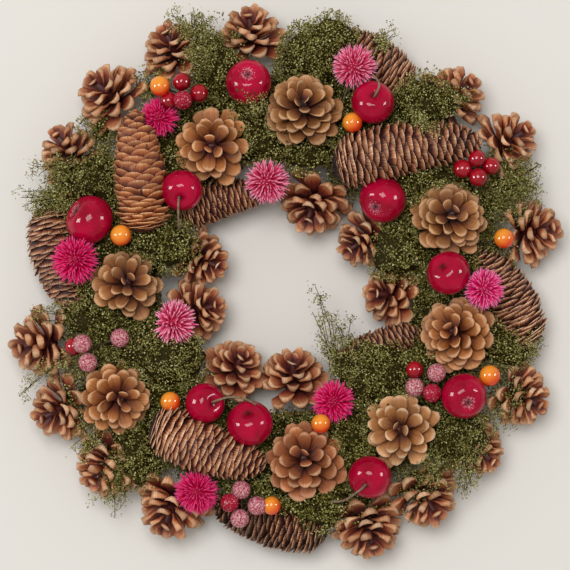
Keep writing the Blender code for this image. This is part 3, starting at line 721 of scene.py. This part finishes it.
def bract_finish(name, root, body, tip):
    """Dyed papery bracts: satin, deep at the root, partly as painted shade in the head, pale at the tips.
    """
    made, tree, shader = new_material(name, {"Roughness": 0.5, "Specular IOR Level": 0.15})
    reach = add_node(tree, "Attribute", attribute_name="reach").outputs["Fac"]
    tone = add_node(tree, "Attribute", attribute_name="tone").outputs["Fac"]
    along = add_node(tree, "Math", {0: tone, 1: 0.35, 2: reach}, operation="MULTIPLY_ADD")
    colour = add_node(tree, "ValToRGB", {"Fac": along}, stops=((0.3, root), (1.0, tip), (0.75, body)))
    set_surface(tree, shader, colour)
    return made


flower_finishes = {
    "deep": bract_finish("magenta_bract_deep", "#A8003A", "#E40C5E", "#EE4A8C"),
    "bright": bract_finish("magenta_bract_bright", "#B40050", "#F01E7A", "#FA80B4"),
    "light": bract_finish("magenta_bract_light", "#B0103E", "#E84478", "#FCA4C0"),
}
bract_shapes = [
    blade("bract_a", 2, 3, 0.06, neck=0.8, rounding=0.0, curl=0.10, point=0.9),
    blade("bract_b", 2, 3, 0.06, neck=0.8, rounding=0.0, curl=-0.08, point=0.85),
]

for number, (name, values) in enumerate(FLOWERS.items()):
    x, y, z, lean, azimuth, radius, half_width, bracts, finish = values
    radius = radius * MM
    dice = random.Random(60 + number)

    def arrange(share):
        """A bract of a head, straight out from the core."""
        height = mix(BRACT_LOWEST, 1, share)
        out = Vector((math.sqrt(1 - min(1, height * height)), HEAD_HEIGHT * height))
        return BRACT_ROOT * radius * out, radius * dice.uniform(*BRACT_REACH) * out, half_width * MM

    head = bmesh.new()
    place = leaning((x, y, z), lean, azimuth)
    ball = bmesh.new()
    bmesh.ops.create_icosphere(ball, subdivisions=2, radius=HEAD_CORE * radius)
    core = with_tone(ball, "ball")
    stamp(head, core, place, 0)
    bpy.data.meshes.remove(core)
    cover_with_scales(head, bract_shapes, bracts, arrange, place, dice, name, BRACT_LOOSENESS)
    add_pick(head, (x, y, z), 1)
    finish_piece(head, f"{name}_bracts", [flower_finishes[finish], stalk_wood], name)

# The berries. Foam balls dipped in red or orange lacquer, on thin wires that fork in each bunch. Many
# were rolled in sugar frost while they were wet.
BERRY_WIRE_RADIUS = 0.0006
WIRE_FORK_MM = 47
PIT_DEPTH = 0.05
PIT_REACH = 0.01

# name: its berries, each (x, y, z of the middle in mm, radius, finish)
BERRIES = {
    "berries_1": [
        (-87, 138, 66, 7, "orange"), (-72, 141, 64, 6.3, "red"), (-60, 133, 64, 6.3, "red"),
        (-81, 128, 62, 6.3, "red"), (-71, 128, 70, 6.6, "dusted"),
    ],
    "berries_2": [
        (132, 88, 62, 6.1, "red"), (122, 81, 61, 6.6, "red"), (142, 83, 58, 6.1, "red"),
        (133, 75, 62, 6.5, "red"),
    ],
    "berries_3": [
        (89, -58, 60, 6.1, "red"), (104, -60, 62, 6.6, "frosted"), (89, -70, 60, 6.6, "frosted"),
        (101, -74, 62, 6.6, "dusted"),
    ],
    "berries_4": [
        (-141, -40, 60, 6.6, "frosted"), (-147, -42, 55, 6.3, "red"), (-115, -36, 58, 6.6, "frosted"),
        (-137, -53, 60, 6.6, "frosted"),
    ],
    "berries_5": [
        (-31, -141, 58, 6.6, "frosted"), (-39, -150, 58, 6.6, "dusted"),
        (-32, -161, 56, 6.6, "frosted"), (-20, -152, 60, 6.6, "frosted"),
        (-10, -152, 58, 6.5, "orange"),
    ],
    "orange_berry_1": [(-114, 35, 66, 7.3, "orange")],
    "orange_berry_2": [(46, 113, 62, 7, "orange")],
    "orange_berry_3": [(151, 33, 56, 7, "orange")],
    "orange_berry_4": [(141, -62, 60, 7.3, "orange")],
    "orange_berry_5": [(24, -95, 66, 6.7, "orange")],
    "orange_berry_6": [(-80, -80, 60, 7, "orange")],
}


def berry_finish(name, low, high, frost_share):
    """Glossy lacquer under frost on a share of it, over painted light and shade across the berry.

    The grains of sugar are drawn over a millimetre wide, so that they show.
    """
    bare = frost_share == 0
    made, tree, shader = new_material(
        name, {"Specular IOR Level": 0.0, "Coat Weight": 1.0 if bare else 0.3, "Coat Roughness": 0.04}
    )
    painted_light = add_node(tree, "Attribute", attribute_name="tone").outputs["Fac"]
    place = add_node(tree, "TexCoord").outputs["Object"]
    # Low is painted shade on the far side of the berry, high is painted light on the side towards the
    # light
    shade = add_node(tree, "ValToRGB", {"Fac": painted_light}, stops=((0.3, low), (0.9, high)))
    grain = add_node(tree, "TexNoise", {"Vector": place, "Scale": 850.0, "Detail": 3.0, "Roughness": 0.7})
    edge = mix(0.7, 0.42, frost_share)
    mask = add_node(tree, "MapRange", {"Value": grain, "From Min": edge, "From Max": edge + 0.16})
    sugared = add_node(tree, "MixRGB", {"Fac": mask, "Color1": shade, "Color2": linear("#D8AEAE")})
    set_surface(tree, shader, sugared, Height=grain, Strength=0.8 * frost_share, Distance=0.0004)
    return made


berry_finishes = {
    "red": berry_finish("red_berry_gloss", "#74000E", "#A80A20", 0.0),
    "dusted": berry_finish("red_berry_dusted", "#8A0A20", "#A61A36", 0.5),
    "frosted": berry_finish("red_berry_frosted", "#96263A", "#A83A50", 0.9),
    "orange": berry_finish("orange_berry_gloss", "#DE3A0C", "#F6982E", 0.0),
}

# Florist's wire: thin, lacquered brown green
wire_finish, _, _ = new_material("florist_wire", {"Base Color": linear("#3B3420"), "Roughness": 0.5})


def berry(bm, place, radius, index, dice):
    """One berry with a small pit where the flower was. The attribute tone, a painted light, grows from
    side to side.
    """
    ball = bmesh.new()
    bmesh.ops.create_uvsphere(ball, u_segments=28, v_segments=18, radius=radius)
    painted_light = ball.verts.layers.float.new("tone")
    turn = Matrix.Rotation(dice.uniform(0.2, 1.0), 4, "X")
    # The side turned up and to the upper left, towards the light, gets the highest tone: painted light,
    # with painted shade opposite
    side = turn.inverted() @ Vector((dice.uniform(-0.9, 0.2), dice.uniform(0.3, 1), 0.5))
    for vert in ball.verts:
        vert[painted_light] = 0.5 + 0.5 * vert.co.normalized().dot(side.normalized())
        vert.co *= 1 - PIT_DEPTH * math.exp(-(((1 - vert.co.z / radius) / PIT_REACH) ** 2))
    for face in ball.faces:
        face.material_index = index
    bmesh.ops.transform(ball, matrix=leaning(place) @ turn, verts=ball.verts)
    join(bm, ball)


for number, (name, berries) in enumerate(BERRIES.items()):
    bunch = bmesh.new()
    dice = random.Random(80 + number)
    used = list(dict.fromkeys(finish for *_, finish in berries))
    wires = len(used)
    for x, y, z, radius, finish in berries:
        berry(bunch, (x, y, z), radius * MM, used.index(finish), dice)
    if len(berries) > 1:
        middle = sum((Vector(place[:2]) for place in berries), Vector((0, 0))) / len(berries)
        fork = (*middle, WIRE_FORK_MM)
        add_pick(bunch, fork, wires, resolution=1)
        for x, y, z, *_ in berries:
            add_tube(bunch, [fork, (x, y, z)], BERRY_WIRE_RADIUS, wires, resolution=1)
    else:
        add_pick(bunch, berries[0][:3], wires, resolution=1)
    finishes = [*(berry_finishes[finish] for finish in used), wire_finish]
    finish_piece(bunch, f"{name}_skin", finishes, name)

# The moss. Dried sprays of fine branched moss, glued over the straw and tucked in every gap: wiry stems
# that fork, with a crumb of a bud about a millimetre wide on each tip.
BUD_RADIUS = 0.00066
STEM_RADIUS = 0.00014
SPRAY_LENGTH = 0.0070
SPRAY_SPREAD = 0.0021
SPRAY_BUDS = 12
SPRAY_KINDS = 10
CM2_IN_M2 = 1e4
SPRAYS_PER_CM2 = 9.6
CLUMPS_PER_M = 55
SPRIG_BEND_MM = 6
SPRIG_LOWEST_MM = 2
BUD_PITCH_MM = 1.1
SPRAYS_ON_A_SPRIG = 0.3
BUSH_LOWEST_MM = 3

# piece: its bushes between the cones, each (the middle and how far it spreads in mm, its sprays)
BUSHES = {
    "moss_1": [
        ((151, 71, 32), 13, 240), ((141, 58, 30), 11, 130), ((150, 84, 26), 9, 80),
        ((146, 30, 28), 9, 80), ((42, 74, 20), 9, 80),
    ],
    "moss_2": [((-130, 108, 26), 10, 90), ((-92, 138, 30), 10, 90), ((-50, 168, 34), 10, 90)],
    "moss_3": [((-140, -76, 28), 11, 110), ((-138, -52, 30), 9, 80), ((-104, -128, 30), 10, 90)],
    "moss_4": [
        ((92, -136, 30), 12, 130), ((154, -78, 30), 11, 110), ((-46, -136, 30), 10, 90),
        ((132, -98, 32), 10, 90), ((54, -148, 30), 9, 70),
    ],
}

# piece: its tufts, each (where its sprigs start, where they end, how far apart in mm, how many)
TUFTS = {
    "moss_1": [
        ((152, 70, 40), (170, 84, 42), 8, 5), ((156, 62, 40), (176, 70, 38), 8, 7),
        ((152, 52, 42), (168, 50, 40), 8, 6), ((62, 164, 44), (75, 174, 46), 6, 6),
        ((104, 126, 50), (122, 134, 48), 8, 8), ((86, 118, 50), (96, 110, 76), 9, 10),
    ],
    "moss_2": [
        ((-62, 166, 44), (-62, 186, 44), 7, 12), ((-64, 170, 44), (-78, 184, 42), 6, 5),
        ((-58, 160, 46), (-66, 156, 64), 9, 12), ((-150, 84, 46), (-166, 80, 36), 9, 12),
        ((-152, 62, 44), (-176, 58, 40), 8, 16), ((-20, 120, 50), (-26, 134, 74), 7, 6),
        ((36, 168, 44), (34, 180, 48), 9, 10),
    ],
    "moss_3": [
        ((-150, -48, 52), (-184, -76, 36), 4, 2), ((-126, -48, 46), (-146, -58, 40), 10, 16),
        ((-120, -92, 44), (-138, -92, 34), 10, 14), ((-114, -116, 44), (-122, -136, 34), 8, 12),
        ((-148, -20, 44), (-180, -16, 38), 5, 3), ((-120, -126, 44), (-119, -150, 34), 8, 10),
        ((-130, -104, 44), (-142, -112, 50), 9, 8),
    ],
    "moss_4": [
        ((36, -62, 44), (24, -20, 42), 9, 7), ((42, -58, 44), (40, -26, 42), 7, 5),
        ((44, -60, 46), (56, -38, 60), 6, 5), ((128, -114, 44), (126, -138, 34), 7, 8),
        ((156, -40, 42), (176, -38, 32), 8, 8), ((100, -120, 46), (104, -132, 60), 8, 8),
    ],
}

# Dried moss: matt, in crumbs about a millimetre wide, olive to yellow green in patches 17 mm wide, near
# black as painted shade where the light doesn't get in, on the bed and the hearts of the bushes
moss_finish, tree, shader = new_material("dried_moss", {"Roughness": 0.8, "Specular IOR Level": 0.1})
reach = add_node(tree, "Attribute", attribute_name="reach").outputs["Fac"]
tone = add_node(tree, "Attribute", attribute_name="tone").outputs["Fac"]
place = add_node(tree, "TexCoord").outputs["Object"]
patch = add_node(tree, "TexNoise", {"Vector": place, "Scale": 60.0, "Detail": 3.0})
crumb = add_node(tree, "TexNoise", {"Vector": place, "Scale": 800.0, "Detail": 2.0})
shade = add_node(tree, "Math", {0: tone, 1: 0.35, 2: reach}, operation="MULTIPLY_ADD")
lift = add_node(tree, "Math", {0: crumb, 1: 0.8, 2: -0.4}, operation="MULTIPLY_ADD")
lifted = add_node(tree, "Math", {0: shade, 1: lift}, operation="ADD")
green = add_node(
    tree, "ValToRGB", {"Fac": lifted},
    stops=((0.02, "#2C240C"), (1, "#EAE2AA"), (0.45, "#665A28"), (0.75, "#B2A662")),
)
leafy = add_node(
    tree, "HueSaturation", {"Hue": 0.53, "Saturation": 1.1, "Value": 0.95, "Color": green}
)
patched = add_node(tree, "MixRGB", {"Fac": patch, "Color1": green, "Color2": leafy})
set_surface(tree, shader, patched)


def facing(direction):
    """The matrix that turns +Z towards a direction."""
    return direction.to_track_quat("Z", "Y").to_matrix().to_4x4()


def any_way(dice):
    """The matrix that turns +Z to any side."""
    return facing(Vector([dice.gauss(0, 1) for _ in range(3)]))


def add_bud(bm, place, radius, bright, reach, dice):
    """One bud: a tetrahedron turned at random, with its brightness in the attribute reach."""
    before = len(bm.verts)
    bmesh.ops.create_cone(
        bm, cap_ends=True, segments=3, radius1=radius, radius2=0, depth=1.5 * radius,
        matrix=Matrix.Translation(place) @ any_way(dice),
    )
    bm.verts.ensure_lookup_table()
    for vert in bm.verts[before:]:
        vert[reach] = bright


def spray(name, dice):
    """One spray of moss along +Z, its root at the origin: a stem in the midst of a cluster of buds."""
    bm = bmesh.new()
    reach = bm.verts.layers.float.new("reach")
    for index in range(SPRAY_BUDS):
        rise = SPRAY_LENGTH * dice.uniform(0.4, 1.1)
        tip = Vector((dice.gauss(0, SPRAY_SPREAD), dice.gauss(0, SPRAY_SPREAD), rise))
        add_bud(bm, tip, BUD_RADIUS * dice.uniform(0.7, 1.3), dice.uniform(0.2, 1), reach, dice)
        if index == 0:
            foot = Vector((0, 0, 0.1 * SPRAY_LENGTH))
            middle = Matrix.Translation((tip + foot) / 2)
            bmesh.ops.create_cone(
                bm, cap_ends=True, segments=3, radius1=STEM_RADIUS * 1.3, radius2=STEM_RADIUS,
                depth=(tip - foot).length, matrix=middle @ facing(tip - foot),
            )
    return with_tone(bm, name)


def scatter(point, spread, dice):
    """A point at random near another, most within the spread."""
    return Vector(point) + Vector([dice.gauss(0, spread / 2) for _ in range(3)])


def add_sprig(bm, start, end, spread, dice):
    """One stray sprig: a bent stem with buds and sprays on both sides of it all along."""
    start, end = scatter(start, 0.8 * spread, dice), scatter(end, spread, dice)
    end.z = max(end.z, SPRIG_LOWEST_MM)
    middle = scatter((start + end) / 2, SPRIG_BEND_MM, dice) + Vector((0, 0, SPRIG_BEND_MM / 2))
    points = [start, middle, end]
    add_tube(bm, points, STEM_RADIUS * 1.6, 0, resolution=0)
    for first, second in zip(points, points[1:]):
        for _ in range(int((second - first).length / BUD_PITCH_MM)):
            spot = scatter(first.lerp(second, dice.random()), 3, dice) * MM
            matrix = Matrix.Translation(spot) @ any_way(dice) @ Matrix.Scale(dice.uniform(0.6, 1.1), 4)
            bushy = dice.random() < SPRAYS_ON_A_SPRIG
            stamp(bm, dice.choice(spray_shapes) if bushy else bud_shape, matrix, dice.random())


def add_bush(bm, middle, spread, count, dice):
    """A bush: sprays that fan out from all through a flattened ball, painted dark as shade at its heart.
    """
    heart = Matrix.Translation(Vector(middle) * MM) @ Matrix.Scale(0.62 * spread * MM, 4)
    stamp(bm, heart_shape, heart, 0)
    for _ in range(count):
        offset = Vector((dice.gauss(0, 0.5), dice.gauss(0, 0.5), dice.gauss(0, 0.4)))
        spot = Vector(middle) + spread * offset
        spot.z = max(spot.z, BUSH_LOWEST_MM)
        turn = facing(offset + Vector((0, 0, 0.4)))
        matrix = Matrix.Translation(spot * MM) @ turn @ Matrix.Scale(dice.uniform(0.7, 1.3), 4)
        stamp(bm, dice.choice(spray_shapes), matrix, dice.random())


def under_a_face_cone(point):
    """Whether a point lies under the middle of a cone that stands up, where no moss would show."""
    for x, y, z, _, _, radius, *_ in FACE_CONES.values():
        if point.z < z * MM and (point.xy - Vector((x, y)) * MM).length < 0.75 * radius * MM:
            return True
    return False


def over_spruce_cone_9(point):
    """Whether a point lies over the bare side of the small spruce cone beside the hole."""
    x, y, _, azimuth, _, radius, length, *_ = SPRUCE_CONES["spruce_cone_9"]
    offset = Matrix.Rotation(-math.radians(azimuth), 2) @ (point.xy / MM - Vector((x, y)))
    return abs(offset.x) < 0.45 * length and 0.1 * radius < offset.y < 0.9 * radius


dice = random.Random(100)
spray_shapes = [spray(f"spray_{index}", dice) for index in range(SPRAY_KINDS)]
bud_bm = bmesh.new()
add_bud(bud_bm, (0, 0, 0), BUD_RADIUS, 0.6, bud_bm.verts.layers.float.new("reach"), dice)
bud_shape = with_tone(bud_bm, "bud")
# A bush's heart: a flattened ball with no reach, so it takes the darkest moss colour as painted shade
heart_bm = bmesh.new()
bmesh.ops.create_icosphere(heart_bm, subdivisions=2, radius=1, matrix=Matrix.Diagonal((1, 1, 0.7, 1)))
heart_bm.verts.layers.float.new("reach")
heart_shape = with_tone(heart_bm, "heart")

for name, tufts in TUFTS.items():
    dice = random.Random(name)
    bed = bmesh.new()
    bed.from_mesh(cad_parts[name].data)
    bmesh.ops.remove_doubles(bed, verts=bed.verts, dist=0.00001)
    # The bed carries no reach, so it takes the darkest moss colour: painted shade deep in the moss
    bed.verts.layers.float.new("tone")
    bed.verts.layers.float.new("reach")
    spots = []
    for face in bed.faces:
        if face.normal.z < -0.3:
            continue
        corners = [vert.co.copy() for vert in face.verts]
        for _ in range(int(face.calc_area() * CM2_IN_M2 * SPRAYS_PER_CM2 + dice.random())):
            u, v = sorted((dice.random(), dice.random()))
            spot = corners[0] * u + corners[1] * (v - u) + corners[2] * (1 - v)
            spots.append((spot, face.normal.copy()))
    for point, normal in spots:
        aim = (normal + Vector((dice.gauss(0, 0.4), dice.gauss(0, 0.4), 0.4))).normalized()
        clump = noise.noise(point * CLUMPS_PER_M)
        if clump < dice.uniform(-2.2, -0.3) or under_a_face_cone(point) or over_spruce_cone_9(point):
            continue
        if taken(point + aim * SPRAY_LENGTH * 0.8, name):
            continue
        spin = Matrix.Rotation(dice.uniform(0, 2 * math.pi), 4, "Z")
        size = Matrix.Scale(dice.uniform(0.6, 1.3) * (1 + 0.4 * clump), 4)
        matrix = Matrix.Translation(point) @ facing(aim) @ spin @ size
        stamp(bed, dice.choice(spray_shapes), matrix, dice.random())
    for middle, spread, count in BUSHES[name]:
        add_bush(bed, middle, spread, count, dice)
    for start, end, spread, count in tufts:
        for _ in range(count):
            add_sprig(bed, start, end, spread, dice)
    finish_piece(bed, f"{name}_sprays", [moss_finish], name)

# The table, the light and the camera. A pale painted table stands under a large soft light from the
# upper left. Two low windows, left and right, only show as bright spots in the lacquer. The camera looks
# straight down.
TABLE_RADIUS = 4
VIEW_WIDTH = 0.399
LENS = 225
SENSOR = 36
AIM = (-0.0007, 0.0007, 0.03)

# Table paint: pale and matt, so that nothing shows on it but the wreath's shadow
paint, _, _ = new_material("pale_table_paint", {"Base Color": linear("#E2DFD9"), "Roughness": 0.7})
table_bm = bmesh.new()
bmesh.ops.create_circle(table_bm, cap_ends=True, segments=96, radius=TABLE_RADIUS)
table = bpy.data.objects.new("table", mesh_from(table_bm, "table"))
table.data.materials.append(paint)
bpy.context.scene.collection.objects.link(table)

# name: (its place in metres, its width and height, its power in watts, whether it lights matt surfaces)
LIGHTS = {
    "sky": ((-0.6, 0.9, 4.5), 2.2, 1.8, 132, True),
    "left_window": ((-1.6, 0.15, 0.95), 0.56, 0.66, 24, False),
    "right_window": ((1.6, 0.25, 0.95), 0.46, 0.54, 15, False),
}
for name, (place, width, height, power, lights_matt) in LIGHTS.items():
    lamp = bpy.data.lights.new(name, "AREA")
    lamp.shape = "RECTANGLE"
    lamp.size = width
    lamp.size_y = height
    lamp.energy = power
    stand = bpy.data.objects.new(name, lamp)
    stand.location = place
    stand.visible_diffuse = lights_matt
    stand.rotation_euler = (-Vector(place)).to_track_quat("-Z", "Y").to_euler()
    bpy.context.scene.collection.objects.link(stand)

world = bpy.data.worlds.new("pale_room")
world.use_nodes = True
world.node_tree.nodes["Background"].inputs["Color"].default_value = linear("#F4F1EC")
world.node_tree.nodes["Background"].inputs["Strength"].default_value = 0.5
bpy.context.scene.world = world
bpy.context.scene.view_settings.view_transform = "Standard"

camera = bpy.data.objects.new("camera", bpy.data.cameras.new("camera"))
camera.data.lens = LENS
camera.data.sensor_width = SENSOR
camera.location = (AIM[0], AIM[1], AIM[2] + VIEW_WIDTH * LENS / SENSOR)
bpy.context.scene.collection.objects.link(camera)
bpy.context.scene.camera = camera
